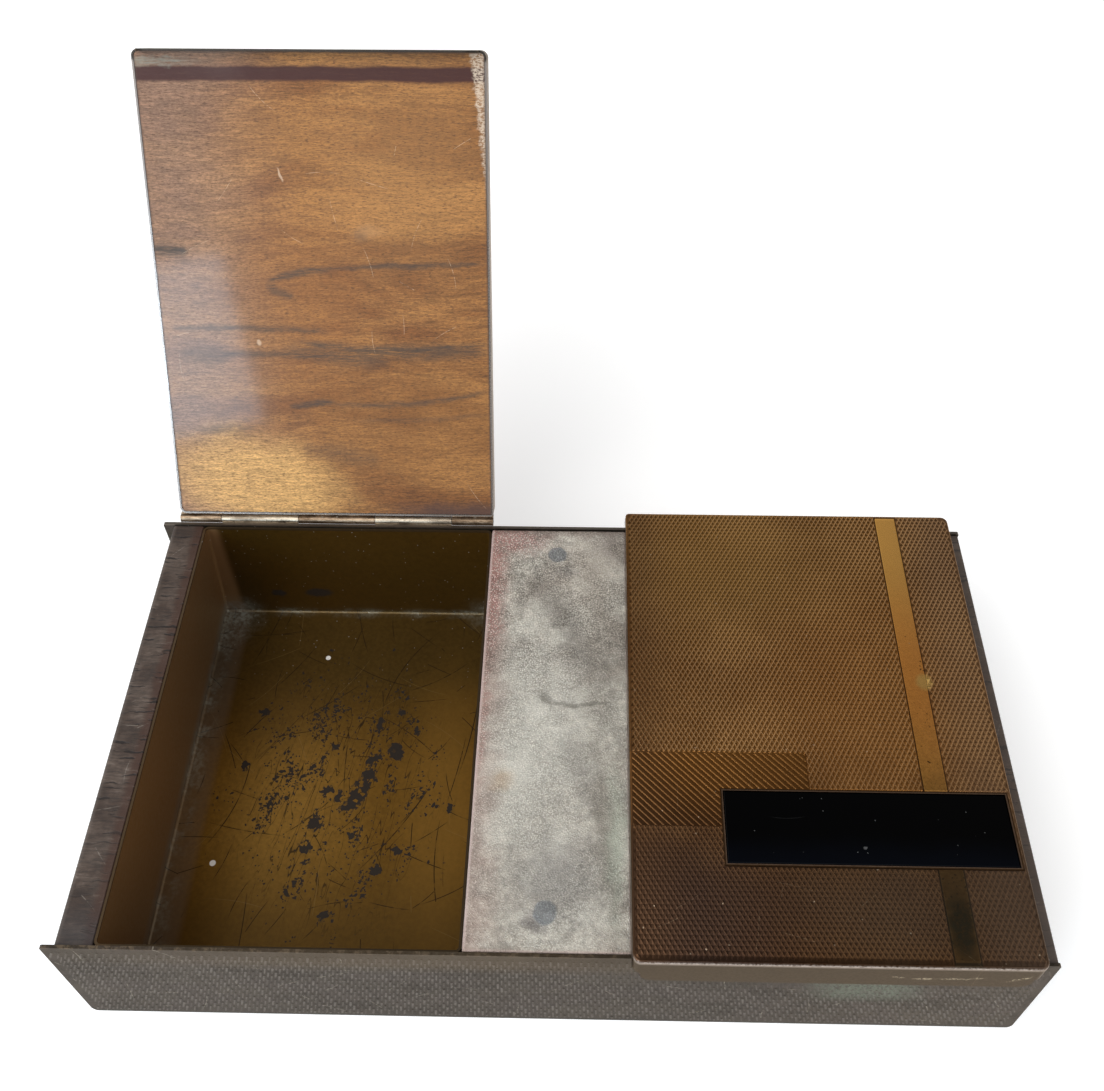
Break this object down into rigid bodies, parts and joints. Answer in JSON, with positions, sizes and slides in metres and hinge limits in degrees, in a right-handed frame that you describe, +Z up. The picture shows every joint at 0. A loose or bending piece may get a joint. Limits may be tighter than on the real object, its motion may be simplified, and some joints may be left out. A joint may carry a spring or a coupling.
{
  "type": "cigarette box",
  "caption": "Low metal-wrapped desk box with wooden ends, lacquered trays, a leather-topped centre strip and hinged wood-lined lids with a black bar.",
  "frame": {"origin": "centre of the base, on the underside of the case's bottom sheet", "axes": "+X to the right along the box's length, -Y to the front, +Z up"},
  "size_m": [0.23, 0.1971, 0.1583],
  "materials": {
    "case_metal": "engine-turned short strokes in slanting rows, aged grey-brown",
    "lid_metal": "engine-turned diamonds, aged bronze lacquer",
    "end_wood": "dark stained, sawn across the grain",
    "block_wood": "plain unfinished wood",
    "strip_leather": "pebbled, faded from red to grey",
    "tray_lacquer": "gold lacquer, scratched and chipped",
    "lining_wood": "varnished, satin",
    "bar_black": "opaque black, polished",
    "lid_leaf_metal": "aged",
    "case_leaf_brass": "rubbed bright",
    "pin_steel": "plain",
    "screw_steel": "plain"
  },
  "bodies": {
    "box": {"case_shell": "case_metal", "left_end_block": "end_wood", "right_end_block": "end_wood", "centre_block": "block_wood", "centre_board": "block_wood", "centre_leather": "strip_leather", "centre_screw_front": "screw_steel", "centre_screw_back": "screw_steel", "left_tray": "tray_lacquer", "right_tray": "tray_lacquer", "left_case_leaf": "case_leaf_brass", "right_case_leaf": "case_leaf_brass", "left_hinge_pin": "pin_steel", "right_hinge_pin": "pin_steel"},
    "left_lid": {"left_lid_shell": "lid_metal", "left_lid_lining": "lining_wood", "left_lid_bar": "bar_black", "left_lid_leaf": "lid_leaf_metal"},
    "right_lid": {"right_lid_shell": "lid_metal", "right_lid_lining": "lining_wood", "right_lid_bar": "bar_black", "right_lid_leaf": "lid_leaf_metal"}
  },
  "joints": [
    {"name": "left_lid_hinge", "type": "hinge", "parent": "box", "child": "left_lid", "pos_m": [0, 0.0634, 0.0439], "axis": [-1, 0, 0], "range_deg": [-119.4, 0]},
    {"name": "right_lid_hinge", "type": "hinge", "parent": "box", "child": "right_lid", "pos_m": [0, 0.0634, 0.0439], "axis": [-1, 0, 0], "range_deg": [0, 119.4]}
  ]
}
